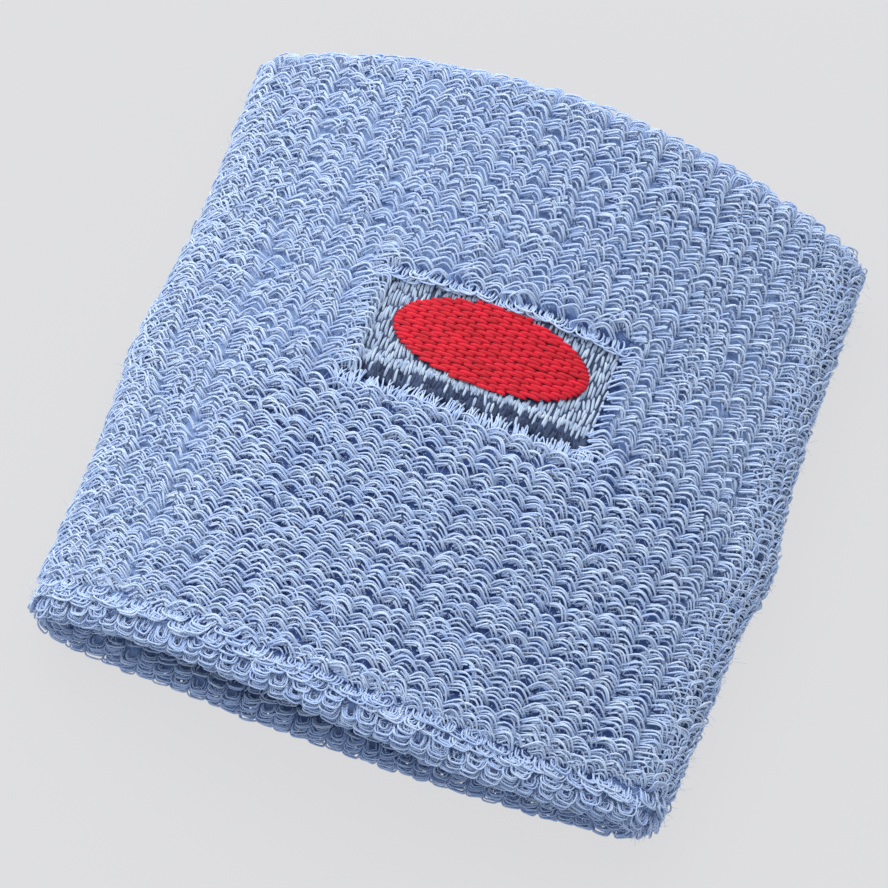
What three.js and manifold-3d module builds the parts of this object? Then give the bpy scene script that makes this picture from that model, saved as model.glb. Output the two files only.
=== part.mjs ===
// Sweat wristband: a knitted terry tube, doubled over so that the pile faces both out and in,
// lying flat on its side with the wrist opening slightly parted.
// Millimetres. +Z is up, the tube's axis runs along Y, and the embroidered face looks up (+Z).
// The origin is the centre of the band's footprint, on the surface that it lies on.
import * as THREE from 'three';
import { mergeVertices } from 'three/addons/utils/BufferGeometryUtils.js';
import Module from 'manifold-3d';

const wasm = await Module();
wasm.setup();

// ---------------------------------------------------------------- driving dimensions
const FLAT_WIDTH = 80;       // X, across the flattened tube, over the pile
const SIDE_LENGTH = 78;      // Y, along the folded sides
const HEIGHT = 20.3;         // Z, floor to the crown of the upper wall, halfway along
const CROWN_RISE = 1.2;      // the far rim stands this much higher, the near rim this much lower
const UPPER_BOW = 3.1;       // the upper wall's far rim runs this far past the ends of the side folds
const NEAR_BOW = 2.55;       // the same for its near rim, in the middle
const NEAR_SKEW = 0.075;     // and how much more for each millimetre towards +X
const LOWER_BOW = 1.5;       // the same for the lower wall
const SWAY = 0.6;            // sideways bend of the band between its middle and its rims
const WALL = 5.2;            // one wall: two terry layers, pile tip to pile tip
const FOLD_RADIUS = 3.8;     // middle of the wall around a side fold

// Layers of one wall, as distances from the middle of the wall; + is towards the outside.
const OUTER_BACK = 0.6;
const INNER_BACK = -0.8;
const FLANGE = 5;            // how far the folded rim of the outer layer runs back inside
const LAYER_GAP = 0.3;       // between the lining and the far flange
const SEAM_GAP = 1.5;        // between the lining and the near flange, where the seam lies

const SEAM_THREAD_RADIUS = 0.45;
const ELASTIC_RADIUS = 0.2;
const ELASTIC_OFFSET = -0.4;
const ELASTIC_TURNS = 9;
const ELASTIC_SPAN = 0.86;   // share of the length that the elastic turns take

// Embroidery, on the upper wall.
const PATCH = { x: 0.9, y: 6.6, width: 29, height: 14, corner: 1.6 };
const MOTIF = { x: 1.2, y: 7.8, width: 23.4, height: 10.4 };
const SHADOW = { x: 0.9, y: 1.1, width: 26.6, height: 1.5, corner: 0.5 };
const RECESS_DEPTH = 1.4;
const RECESS_MARGIN = 0.5;
const GROUND_LAYER = [1.35, 1.75];
const MOTIF_LAYER = [1.88, 2.38];
const SHADOW_LAYER = [1.88, 2.1];
const BACKING = { x: 0.9, y: 6.6, width: 34, height: 19, corner: 2 };
const BACKING_LAYER = [0.3, 0.48];
const BOBBIN_LAYER = [0.03, 0.18];

// Facets.
const FLOOR_STEPS = 5;
const FOLD_STEPS = 7;
const ARCH_STEPS = 14;
const WALL_STEPS = 5;
const RIM_STEPS = 5;
const THREAD_SIDES = 5;
const CORNER_STEPS = 4;
const OVAL_STEPS = 36;
const PLATE_RINGS = [0.3, 0.65, 1];

const MIDDLE_HALF_WIDTH = (FLAT_WIDTH - WALL) / 2;
const FOLD_X = MIDDLE_HALF_WIDTH - FOLD_RADIUS;
const FOLD_Z = WALL / 2 + FOLD_RADIUS;

// ---------------------------------------------------------------- the wall's middle surface

// Angle up the side fold at which the round fold runs smoothly into the arched upper wall.
function foldAngle(crown) {
  let low = THREE.MathUtils.degToRad(30);
  let high = THREE.MathUtils.degToRad(89);
  for (let pass = 0; pass < 40; pass += 1) {
    const angle = (low + high) / 2;
    const edgeX = FOLD_X + FOLD_RADIUS * Math.cos(angle);
    const edgeZ = FOLD_Z + FOLD_RADIUS * Math.sin(angle);
    if (edgeZ + edgeX / Math.tan(angle) / 2 > crown) {
      low = angle;
    } else {
      high = angle;
    }
  }
  return (low + high) / 2;
}

// The arched upper wall at one place along the band, from -1 (near rim) to 1 (far rim).
function archAt(along) {
  const crown = HEIGHT - WALL / 2 + CROWN_RISE * along;
  const angle = foldAngle(crown);
  const edgeX = FOLD_X + FOLD_RADIUS * Math.cos(angle);
  const edgeZ = FOLD_Z + FOLD_RADIUS * Math.sin(angle);
  return { crown, angle, edgeX, edgeZ };
}

function archPoint(arch, x) {
  const share = x / arch.edgeX;
  const z = arch.edgeZ + (arch.crown - arch.edgeZ) * (1 - share ** 2);
  const slope = -2 * (arch.crown - arch.edgeZ) * x / arch.edgeX ** 2;
  const size = Math.hypot(1, slope);
  return { x, z, normalX: -slope / size, normalZ: 1 / size };
}

function foldPoint(side, angle) {
  return {
    x: side * FOLD_X + FOLD_RADIUS * Math.cos(angle),
    z: FOLD_Z + FOLD_RADIUS * Math.sin(angle),
    normalX: Math.cos(angle),
    normalZ: Math.sin(angle),
  };
}

// The closed cross-section: along the floor, up one fold, over the arch, down the other fold.
function crossSection(along) {
  const arch = archAt(along);
  const bend = arch.angle + Math.PI / 2;
  const stations = [];
  for (let i = 0; i < FLOOR_STEPS; i += 1) {
    const x = FOLD_X * (2 * i / FLOOR_STEPS - 1);
    stations.push({ x, z: WALL / 2, normalX: 0, normalZ: -1 });
  }
  for (let i = 0; i < FOLD_STEPS; i += 1) {
    stations.push(foldPoint(1, bend * i / FOLD_STEPS - Math.PI / 2));
  }
  for (let i = 0; i < ARCH_STEPS; i += 1) {
    stations.push(archPoint(arch, arch.edgeX * (1 - 2 * i / ARCH_STEPS)));
  }
  for (let i = 0; i < FOLD_STEPS; i += 1) {
    stations.push(foldPoint(-1, Math.PI - arch.angle + bend * i / FOLD_STEPS));
  }
  return stations;
}

// How far the middle surface of a wall runs from the band's middle to the centre of its rim.
function wallReach(x, bow) {
  return SIDE_LENGTH / 2 - WALL / 2 + bow * (1 - (x / MIDDLE_HALF_WIDTH) ** 2);
}

function upperReach(x, along) {
  return wallReach(x, along < 0 ? NEAR_BOW + NEAR_SKEW * x : UPPER_BOW);
}

function reach(station, along) {
  return station.z < FOLD_Z ? wallReach(station.x, LOWER_BOW) : upperReach(station.x, along);
}

function place(station, along, beyond, offset) {
  return new THREE.Vector3(
    station.x + station.normalX * offset + SWAY * (0.5 - along ** 2),
    along * reach(station, along) + beyond,
    station.z + station.normalZ * offset,
  );
}

// ---------------------------------------------------------------- closed meshes

function meshGeometry(points, triangles) {
  const geometry = new THREE.BufferGeometry();
  const values = points.flatMap((point) => [point.x, point.y, point.z]);
  geometry.setAttribute('position', new THREE.Float32BufferAttribute(values, 3));
  geometry.setIndex(triangles);
  return geometry;
}

// Joins rings of equal size into a skin. The faces look out when each ring runs
// anticlockwise for someone who looks from it towards the next ring.
function skin(rings, ringSize, closed) {
  const triangles = [];
  const steps = closed ? rings : rings - 1;
  for (let i = 0; i < steps; i += 1) {
    const here = i * ringSize;
    const next = ((i + 1) % rings) * ringSize;
    for (let j = 0; j < ringSize; j += 1) {
      const k = (j + 1) % ringSize;
      triangles.push(here + j, next + k, here + k);
      triangles.push(here + j, next + j, next + k);
    }
  }
  return triangles;
}

// A closed hoop of fabric around the band, from its profile of { along, beyond, offset }.
function hoop(profile) {
  const points = [];
  for (const { along, beyond, offset } of profile) {
    for (const station of crossSection(along)) {
      points.push(place(station, along, beyond, offset));
    }
  }
  return meshGeometry(points, skin(profile.length, points.length / profile.length, true));
}

// A thread with a round section that follows points, each with its own outward direction.
function threadRings(path, radius) {
  const points = [];
  for (const { centre, outward } of path) {
    for (let j = 0; j < THREAD_SIDES; j += 1) {
      const angle = 2 * Math.PI * j / THREAD_SIDES;
      const point = centre.clone().addScaledVector(outward, radius * Math.cos(angle));
      point.y -= radius * Math.sin(angle);
      points.push(point);
    }
  }
  return points;
}

function threadPoint(station, along, beyond, offset) {
  return {
    centre: place(station, along, beyond, offset),
    outward: new THREE.Vector3(station.normalX, 0, station.normalZ),
  };
}

// ---------------------------------------------------------------- pieces of the terry tube

function wallRun(from, to, offset) {
  const run = [];
  for (let i = 1; i < WALL_STEPS; i += 1) {
    run.push({ along: from + (to - from) * i / WALL_STEPS, beyond: 0, offset });
  }
  return run;
}

function rimArc(side, radius, fromAngle, toAngle) {
  const arc = [];
  for (let i = 0; i <= RIM_STEPS; i += 1) {
    const angle = fromAngle + (toAngle - fromAngle) * i / RIM_STEPS;
    arc.push({ along: side, beyond: side * radius * Math.cos(angle), offset: radius * Math.sin(angle) });
  }
  return arc;
}

// The outer layer runs along the outside, folds over at both rims and ends just inside.
function outerLayer() {
  const half = WALL / 2;
  const quarter = Math.PI / 2;
  return hoop([
    ...wallRun(-1, 1, half),
    ...rimArc(1, half, quarter, -quarter),
    { along: 1, beyond: -FLANGE, offset: -half },
    { along: 1, beyond: -FLANGE, offset: -OUTER_BACK },
    ...rimArc(1, OUTER_BACK, -quarter, quarter),
    ...wallRun(1, -1, OUTER_BACK),
    ...rimArc(-1, OUTER_BACK, quarter, -quarter),
    { along: -1, beyond: FLANGE, offset: -OUTER_BACK },
    { along: -1, beyond: FLANGE, offset: -half },
    ...rimArc(-1, half, -quarter, quarter),
  ]);
}

function innerLayer() {
  const farEnd = -FLANGE - LAYER_GAP;
  const nearEnd = FLANGE + SEAM_GAP;
  return hoop([
    { along: -1, beyond: nearEnd, offset: INNER_BACK },
    ...wallRun(-0.8, 0.8, INNER_BACK),
    { along: 1, beyond: farEnd, offset: INNER_BACK },
    { along: 1, beyond: farEnd, offset: -WALL / 2 },
    ...wallRun(0.8, -0.8, -WALL / 2),
    { along: -1, beyond: nearEnd, offset: -WALL / 2 },
  ]);
}

// The linking thread that closes the doubled tube, in the gap behind the near flange.
function closingSeam() {
  const stations = crossSection(-1);
  const beyond = FLANGE + SEAM_GAP / 2;
  const offset = (INNER_BACK - WALL / 2) / 2;
  const path = stations.map((station) => threadPoint(station, -1, beyond, offset));
  const points = threadRings(path, SEAM_THREAD_RADIUS);
  return meshGeometry(points, skin(path.length, THREAD_SIDES, true));
}

// The covered rubber yarn: one length that winds round the band between the two layers.
function elasticYarn() {
  const perTurn = crossSection(0).length;
  const steps = ELASTIC_TURNS * perTurn;
  const path = [];
  for (let i = 0; i <= steps; i += 1) {
    const along = ELASTIC_SPAN * (2 * i / steps - 1);
    const station = crossSection(along)[i % perTurn];
    path.push(threadPoint(station, along, 0, ELASTIC_OFFSET));
  }
  const points = threadRings(path, ELASTIC_RADIUS);
  const triangles = skin(path.length, THREAD_SIDES, false);
  const last = points.length - THREAD_SIDES;
  for (let j = 1; j < THREAD_SIDES - 1; j += 1) {
    triangles.push(0, j, j + 1);
    triangles.push(last, last + j + 1, last + j);
  }
  return meshGeometry(points, triangles);
}

// ---------------------------------------------------------------- embroidery

function roundedOutline({ width, height, corner }) {
  const outline = [];
  for (let side = 0; side < 4; side += 1) {
    const signX = side === 0 || side === 3 ? 1 : -1;
    const signY = side < 2 ? 1 : -1;
    for (let i = 0; i <= CORNER_STEPS; i += 1) {
      const angle = Math.PI / 2 * (side + i / CORNER_STEPS);
      outline.push([
        signX * (width / 2 - corner) + corner * Math.cos(angle),
        signY * (height / 2 - corner) + corner * Math.sin(angle),
      ]);
    }
  }
  return outline;
}

function ovalOutline({ width, height }) {
  const outline = [];
  for (let i = 0; i < OVAL_STEPS; i += 1) {
    const angle = 2 * Math.PI * i / OVAL_STEPS;
    outline.push([width / 2 * Math.cos(angle), height / 2 * Math.sin(angle)]);
  }
  return outline;
}

// Adds points to the long straight runs of an outline, so that it follows the arch.
function refine(outline, longest) {
  const fine = [];
  outline.forEach(([x, y], i) => {
    const [nextX, nextY] = outline[(i + 1) % outline.length];
    const parts = Math.ceil(Math.hypot(nextX - x, nextY - y) / longest);
    for (let k = 0; k < parts; k += 1) {
      fine.push([x + (nextX - x) * k / parts, y + (nextY - y) * k / parts]);
    }
  });
  return fine;
}

// A point of the upper wall over (x, y), at a distance from the wall's middle surface.
function onUpperWall(x, y, offset) {
  const along = y / upperReach(x, y);
  return place(archPoint(archAt(along), x), along, 0, offset);
}

// A thin plate that follows the upper wall, between two distances from its middle surface.
function plate(centre, outline, [bottom, top]) {
  const fine = refine(outline, 3).reverse();
  const points = [onUpperWall(centre.x, centre.y, bottom)];
  const levels = [
    ...PLATE_RINGS.map((scale) => [scale, bottom]),
    ...PLATE_RINGS.toReversed().map((scale) => [scale, top]),
  ];
  for (const [scale, offset] of levels) {
    for (const [x, y] of fine) {
      points.push(onUpperWall(centre.x + x * scale, centre.y + y * scale, offset));
    }
  }
  points.push(onUpperWall(centre.x, centre.y, top));
  const triangles = skin(levels.length, fine.length, false).map((index) => index + 1);
  const last = points.length - 1;
  for (let j = 0; j < fine.length; j += 1) {
    const k = (j + 1) % fine.length;
    triangles.push(0, j + 1, k + 1);
    triangles.push(last, last - fine.length + k, last - fine.length + j);
  }
  return meshGeometry(points, triangles);
}

function grown({ width, height, corner }, margin) {
  return { width: width + 2 * margin, height: height + 2 * margin, corner: corner + margin };
}

// ---------------------------------------------------------------- boolean cut

function toSolid(geometry) {
  const merged = mergeVertices(geometry);
  return new wasm.Manifold(new wasm.Mesh({
    numProp: 3,
    vertProperties: new Float32Array(merged.attributes.position.array),
    triVerts: new Uint32Array(merged.index.array),
  }));
}

function cut(geometry, tool) {
  const mesh = toSolid(geometry).subtract(toSolid(tool)).getMesh();
  const result = new THREE.BufferGeometry();
  result.setAttribute('position', new THREE.Float32BufferAttribute(mesh.vertProperties, 3));
  result.setIndex(Array.from(mesh.triVerts));
  return result;
}

// The pile is trodden down under the embroidery, which leaves a shallow recess.
function recessedOuterLayer() {
  const outline = roundedOutline(grown(PATCH, RECESS_MARGIN));
  const floor = WALL / 2 - RECESS_DEPTH;
  return cut(outerLayer(), plate(PATCH, outline, [floor, WALL / 2 + 2]));
}

// ---------------------------------------------------------------- assembly

const COLOURS = {
  terry: 0x92acd9,
  lining: 0x7f9bcd,
  seam: 0xa9bfe6,
  elastic: 0xe9e7df,
  backing: 0xf2f1ec,
  bobbin: 0xf7f7f5,
  ground: 0x8ba3c4,
  shadow: 0x3a4d73,
  motif: 0xc8152c,
};

const wristband = new THREE.Group();

function addPiece(name, geometry, color, roughness) {
  const material = new THREE.MeshStandardMaterial({ color, roughness, metalness: 0 });
  const mesh = new THREE.Mesh(geometry, material);
  mesh.name = name;
  wristband.add(mesh);
}

addPiece('outer_terry_layer', recessedOuterLayer(), COLOURS.terry, 0.95);
addPiece('inner_terry_layer', innerLayer(), COLOURS.lining, 0.95);
addPiece('closing_seam', closingSeam(), COLOURS.seam, 0.8);
addPiece('elastic_yarn', elasticYarn(), COLOURS.elastic, 0.7);
addPiece('embroidery_backing', plate(BACKING, roundedOutline(BACKING), BACKING_LAYER),
  COLOURS.backing, 0.9);
addPiece('bobbin_stitches', plate(MOTIF, ovalOutline(MOTIF), BOBBIN_LAYER),
  COLOURS.bobbin, 0.6);
addPiece('ground_stitches', plate(PATCH, roundedOutline(PATCH), GROUND_LAYER),
  COLOURS.ground, 0.55);
addPiece('shadow_stitches', plate(SHADOW, roundedOutline(SHADOW), SHADOW_LAYER),
  COLOURS.shadow, 0.5);
addPiece('motif_stitches', plate(MOTIF, ovalOutline(MOTIF), MOTIF_LAYER),
  COLOURS.motif, 0.5);

export default wristband;
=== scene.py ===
"""Sweat wristband: the visual model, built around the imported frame.

A terry tube doubled over itself: a thin knitted ground with pile loops on both faces, each loop
made of a few parallel strands, and a stitched patch on the upper wall. Metres throughout.
"""
import math

import bpy
import numpy as np
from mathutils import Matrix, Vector


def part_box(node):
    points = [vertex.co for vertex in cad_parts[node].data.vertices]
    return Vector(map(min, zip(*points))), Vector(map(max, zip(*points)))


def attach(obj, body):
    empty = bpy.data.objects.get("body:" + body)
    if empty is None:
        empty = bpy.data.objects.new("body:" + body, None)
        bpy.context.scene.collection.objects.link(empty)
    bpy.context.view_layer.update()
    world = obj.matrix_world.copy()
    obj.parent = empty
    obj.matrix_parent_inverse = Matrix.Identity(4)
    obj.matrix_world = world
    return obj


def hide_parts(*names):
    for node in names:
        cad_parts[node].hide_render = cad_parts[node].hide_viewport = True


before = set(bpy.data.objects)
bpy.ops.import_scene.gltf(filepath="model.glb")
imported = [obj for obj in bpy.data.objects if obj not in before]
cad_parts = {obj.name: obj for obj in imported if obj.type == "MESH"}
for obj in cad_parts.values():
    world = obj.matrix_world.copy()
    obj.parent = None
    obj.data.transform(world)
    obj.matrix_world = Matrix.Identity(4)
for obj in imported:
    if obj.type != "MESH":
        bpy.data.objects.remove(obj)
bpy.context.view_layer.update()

MM = 0.001
SEED = 7

# ---- dimensions: boxes from the frame, and the band's own sizes
OUTER_LOW, OUTER_HIGH = (np.array(corner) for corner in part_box("outer_terry_layer"))
PATCH_LOW, PATCH_HIGH = (np.array(corner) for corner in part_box("ground_stitches"))
MOTIF_LOW, MOTIF_HIGH = (np.array(corner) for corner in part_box("motif_stitches"))

WALL = 5.2 * MM              # one wall, pile tip to pile tip
FOLD_RADIUS = 3.8 * MM       # middle of the wall around a side fold
SWAY = 0.6 * MM              # sideways bend of the band
CROWN_RISE = 1.2 * MM        # how much higher the far rim stands than the middle
UPPER_BOW = 3.1 * MM         # how far the upper wall's far rim runs past the side folds
NEAR_BOW = 2.55 * MM         # the same for its near rim, in the middle
NEAR_SKEW = 0.075            # and how much more for each unit towards +X
LOWER_BOW = 1.5 * MM         # the same for the lower wall
OUT_AT_LEFT = 1.15 * MM      # how far the pile of each side fold bulges out or draws in
IN_AT_FAR_LEFT = 0.6 * MM
OUT_AT_RIGHT = 1.3 * MM
OUT_AT_NEAR_RIGHT = 0.4 * MM
IN_AT_FAR_RIGHT = 0.7 * MM   # from where the near end of that fold stands
FLAT_WIDTH = OUTER_HIGH[0] - OUTER_LOW[0] - SWAY
SIDE_LENGTH = OUTER_HIGH[1] - OUTER_LOW[1] - 2 * UPPER_BOW
CROWN_HEIGHT = OUTER_HIGH[2] - CROWN_RISE

MIDDLE_HALF_WIDTH = (FLAT_WIDTH - WALL) / 2
FOLD_X = MIDDLE_HALF_WIDTH - FOLD_RADIUS
FOLD_Z = WALL / 2 + FOLD_RADIUS

# The knitted ground: its outer sheet and its lining, as distances from the wall's middle.
OUTER_SHEET = (1.0 * MM, 1.4 * MM)
LINING_SHEET = (-0.8 * MM, -1.1 * MM)

COLUMNS = 72                 # pile loops round the band
OUTER_COURSES = 70           # pile loops along the outside
LINING_COURSES = 60
RIM_COURSES = 6
SEAM_ALONG = -0.85           # where the two edges of the cloth meet, inside the near mouth
SEAM_HALF = 0.006            # half the slit between them, on the same scale
OUTER_BANDS = 18             # pieces that the pile is shared out over, so that none is too heavy
LINING_BANDS = 6
FUZZ_PIECES = 4
PARTING = -0.972             # where the pile turns over the near rim
LYING, TURNED_OUT, SHORT = 0, 1, 2
PARTING_LOOPS = (            # extra loops there: kind, number a column, and where beside it
    (TURNED_OUT, 3, -0.014, 0.03),
    (SHORT, 3, 0.0, 0.035),
)


# ---- soft steps and soft noise
def smoothstep(value, low, high):
    """0 up to low, 1 from high, and smooth between them."""
    share = np.clip((value - low) / (high - low), 0, 1)
    return share * share * (3 - 2 * share)


def bump(value, middle, width):
    """1 at the middle, falling away smoothly to both sides."""
    return np.exp(-((value - middle) / width) ** 2)


def soft_noise(u, v, seed, scale):
    """Smooth noise, mostly from -1 to 1, over metres; scale is roughly its longest wavelength."""
    rng = np.random.default_rng(seed)
    total = np.zeros(np.shape(u))
    for octave in range(3):
        angle = rng.uniform(0, 2 * np.pi, 5)
        phase = rng.uniform(0, 2 * np.pi, 5)
        wave = 2 * np.pi * (1.7**octave) / scale * rng.uniform(0.7, 1.3, 5)
        for a, p, w in zip(angle, phase, wave):
            total += np.sin(w * (u * math.cos(a) + v * math.sin(a)) + p) / (1.6**octave)
    return total / 6.0


# ---- the wall's middle surface
def fold_angle(crown):
    """Angle up the side fold at which it runs smoothly into the arched upper wall."""
    low, high = math.radians(30), math.radians(89)
    for _ in range(40):
        angle = (low + high) / 2
        edge_x = FOLD_X + FOLD_RADIUS * math.cos(angle)
        edge_z = FOLD_Z + FOLD_RADIUS * math.sin(angle)
        if edge_z + edge_x / math.tan(angle) / 2 > crown:
            low = angle
        else:
            high = angle
    return (low + high) / 2


def right_half(along, steps=400):
    """Half a cross-section, from the middle of the floor over the fold to the crown."""
    crown = CROWN_HEIGHT - WALL / 2 + CROWN_RISE * along
    angle = fold_angle(crown)
    edge_x = FOLD_X + FOLD_RADIUS * math.cos(angle)
    edge_z = FOLD_Z + FOLD_RADIUS * math.sin(angle)
    floor_x = np.linspace(0, FOLD_X, steps)[:-1]
    bend = np.linspace(-math.pi / 2, angle, steps)[:-1]
    arch_x = np.linspace(edge_x, 0, steps)
    slope = -2 * (crown - edge_z) * arch_x / edge_x**2
    size = np.hypot(1, slope)
    x = np.concatenate([floor_x, FOLD_X + FOLD_RADIUS * np.cos(bend), arch_x])
    z = np.concatenate([
        np.full(len(floor_x), WALL / 2),
        FOLD_Z + FOLD_RADIUS * np.sin(bend),
        edge_z + (crown - edge_z) * (1 - (arch_x / edge_x) ** 2),
    ])
    normal_x = np.concatenate([0 * floor_x, np.cos(bend), -slope / size])
    normal_z = np.concatenate([-np.ones(len(floor_x)), np.sin(bend), 1 / size])
    return np.stack([x, z, normal_x, normal_z], 1)


def build_section_table(alongs, steps):
    """Cross-sections at even steps of their own length, round from the middle of the floor."""
    table = []
    for along in alongs:
        half = right_half(along)
        other = half[::-1][1:].copy()
        other[:, [0, 2]] *= -1
        whole = np.concatenate([half, other])
        reach = np.concatenate([[0], np.cumsum(np.hypot(*np.diff(whole[:, :2], axis=0).T))])
        even = np.linspace(0, reach[-1], steps + 1)
        table.append([np.interp(even, reach, column) for column in whole.T])
    return np.array(table)


TABLE_ALONG = np.linspace(-1, 1, 9)
TABLE_STEPS = 1440
TABLE = build_section_table(TABLE_ALONG, TABLE_STEPS)


def section(turn, along):
    """x, z and outward normal of the wall's middle; turn is 0 at the floor, 0.5 at the crown."""
    i = np.clip((along + 1) / 2 * (len(TABLE_ALONG) - 1), 0, len(TABLE_ALONG) - 1.001)
    j = np.mod(turn, 1.0) * TABLE_STEPS
    i0, j0 = i.astype(int), j.astype(int)
    fi, fj = i - i0, j - j0
    j1 = np.minimum(j0 + 1, TABLE_STEPS)
    low = TABLE[i0, :, j0].T * (1 - fj) + TABLE[i0, :, j1].T * fj
    high = TABLE[i0 + 1, :, j0].T * (1 - fj) + TABLE[i0 + 1, :, j1].T * fj
    return low * (1 - fi) + high * fi


def wall_reach(x, bow):
    """How far the middle of a wall runs from the band's middle to the centre of its rim."""
    return SIDE_LENGTH / 2 - WALL / 2 + bow * (1 - (x / MIDDLE_HALF_WIDTH) ** 2)


def upper_reach(x, along):
    """The same for the upper wall, whose two rims bow by different amounts."""
    return wall_reach(x, np.where(along < 0, NEAR_BOW + NEAR_SKEW * x, UPPER_BOW))


def side_wave(x, along):
    """How far each side fold strays towards +X: the worn cloth is not quite straight."""
    left = IN_AT_FAR_LEFT * smoothstep(along, 0.05, 0.45)
    left = left - OUT_AT_LEFT * bump(along, -0.08, 0.22)
    right = OUT_AT_RIGHT * bump(along, -0.12, 0.15)
    right = right - IN_AT_FAR_RIGHT * smoothstep(along, -0.1, 0.5) + OUT_AT_NEAR_RIGHT
    near_fold = np.clip(np.abs(x) / MIDDLE_HALF_WIDTH, 0, 1) ** 3
    return near_fold * np.where(x < 0, left, right)


def blend(lining, outside, alpha):
    """Distance from the wall's middle round a rim, from the lining's to the outside's."""
    return lining + (outside - lining) * (alpha / math.pi + 0.5)


def place(turn, along, alpha, side, radius):
    """Points of the doubled sheet, with their directions across, along and out of it.

    alpha is 90 degrees on the outside, -90 in the lining and between them round a rim.
    radius is the distance from the wall's middle, and side is -1 at the near rim, 1 at the far.
    """
    x, z, nx, nz = section(turn, along)
    reach = np.where(z < FOLD_Z, wall_reach(x, LOWER_BOW), upper_reach(x, along))
    out_n, out_y = np.sin(alpha), side * np.cos(alpha)
    offset = radius * out_n
    stray = side_wave(x, along) * (1 + out_n) / 2
    point = np.stack([
        x + nx * offset + SWAY * (0.5 - along**2) + stray,
        along * reach + radius * out_y,
        z + nz * offset,
    ], -1)
    normal = np.stack([nx * out_n, out_y, nz * out_n], -1)
    down = np.stack([-nx * out_y, out_n, -nz * out_y], -1)
    across = np.cross(down, normal)
    return point, across, down, normal


# ---- meshes
SIDES = 4                               # of every strand, fibre and filament
TINY = 1e-12                            # keeps a length of nought from being divided by


def new_mesh(name, points, faces, smooth=True):
    """An object of those points and faces; all the faces have as many corners."""
    mesh = bpy.data.meshes.new(name)
    faces = np.asarray(faces, np.int32)
    mesh.vertices.add(len(points))
    mesh.vertices.foreach_set("co", np.asarray(points, np.float32).ravel())
    mesh.loops.add(faces.size)
    mesh.loops.foreach_set("vertex_index", faces.ravel())
    mesh.polygons.add(len(faces))
    mesh.polygons.foreach_set("loop_start", np.arange(0, faces.size, faces.shape[1], dtype=np.int32))
    mesh.update(calc_edges=True)
    if smooth:
        mesh.shade_smooth()
    piece = bpy.data.objects.new(name, mesh)
    bpy.context.scene.collection.objects.link(piece)
    return piece


def finish_piece(piece, material, slot, *nodes):
    """Paints a piece and tells the frame its body and the nodes that it replaces; slot is not used."""
    piece.data.materials.append(material)
    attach(piece, "root")
    if nodes:
        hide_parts(*nodes)
    return piece


def add_bake_map(mesh, corners):
    """Gives a mesh its own unwrapped layout; corners is (faces, corners, 2), each from 0 to 1."""
    layer = mesh.uv_layers.new(name="OFBake")
    layer.data.foreach_set("uv", corners.astype(np.float32).ravel())


def strand_map(count, steps, sides):
    """Unwrapped layout of strand_mesh: each strand fills one cell of a square grid.

    Its sheath takes the middle of the cell, and its two caps lie below and above it.
    """
    cells = math.ceil(math.sqrt(count))
    cell = np.arange(count)[:, None, None, None]
    step = np.arange(steps - 1)[None, :, None, None] + np.array([0, 0, 1, 1])
    side = np.arange(sides)[None, None, :, None] + np.array([0, 1, 1, 0])
    u = (cell % cells + 0.05 + 0.9 * side / sides) / cells
    v = (cell // cells + 0.1 + 0.8 * step / (steps - 1)) / cells
    sheath = np.stack(np.broadcast_arrays(u, v), -1).reshape(-1, 4, 2)
    column, row = cell[:, 0, 0] % cells, cell[:, 0, 0] // cells
    cap_u = (column + np.array([[0.1, 0.3, 0.3, 0.1]])) / cells
    first_v = (row + np.array([[0.02, 0.02, 0.08, 0.08]])) / cells
    last_v = (row + np.array([[0.92, 0.92, 0.98, 0.98]])) / cells
    return np.concatenate([sheath, np.stack([cap_u, first_v], -1), np.stack([cap_u, last_v], -1)])


def strand_points(paths, radius, sides):
    """Rings of points round every point of the paths, strand after strand."""
    count, steps = paths.shape[:2]
    tangent = np.gradient(paths, axis=1)
    tangent /= np.linalg.norm(tangent, axis=2, keepdims=True) + TINY
    helper = np.cross(tangent[:, :1], tangent[:, -1:] + [[[1e-4, 2e-4, 3e-4]]])
    first = np.cross(tangent, np.broadcast_to(helper, paths.shape))
    first /= np.linalg.norm(first, axis=2, keepdims=True) + TINY
    second = np.cross(tangent, first)
    angles = 2 * np.pi * np.arange(sides) / sides
    ring = first[:, :, None] * np.cos(angles)[:, None] + second[:, :, None] * np.sin(angles)[:, None]
    width = np.broadcast_to(np.asarray(radius), (count, steps))[:, :, None, None]
    return (paths[:, :, None] + ring * width).reshape(-1, 3)


def strand_faces(count, steps, sides):
    """The four-cornered faces of the sheaths, and then both caps of every strand."""
    start = (np.arange(count) * steps * sides)[:, None, None]
    rows = start + (np.arange(steps - 1) * sides)[None, :, None]
    j = np.arange(sides)[None, None]
    k = (j + 1) % sides
    sheath = np.stack([rows + j, rows + k, rows + sides + k, rows + sides + j], -1).reshape(-1, 4)
    first = start[:, 0] + [[3, 2, 1, 0]]
    last = start[:, 0] + (steps - 1) * sides + [[0, 1, 2, 3]]
    return np.concatenate([sheath, first, last])


def strand_mesh(name, paths, radius, tones):
    """Four-sided tubes along many paths of equal length, closed at both ends.

    paths is (strands, points, 3), and tones (strands, points), (strands, 1) or one number.
    """
    count, steps = paths.shape[:2]
    piece = new_mesh(name, strand_points(paths, radius, SIDES), strand_faces(count, steps, SIDES))
    add_bake_map(piece.data, strand_map(count, steps, SIDES))
    add_tone(piece.data, np.repeat(np.broadcast_to(tones, (count, steps)), SIDES))
    return piece


def add_tone(mesh, tones):
    """Keeps how light each point is painted, for the material: the yarn's own tone, and on the pile, its
    fuzz and its ground also painted shade and light.
    """
    tone = mesh.attributes.new("tone", "FLOAT", "POINT")
    tone.data.foreach_set("value", tones.astype(np.float32))


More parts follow.
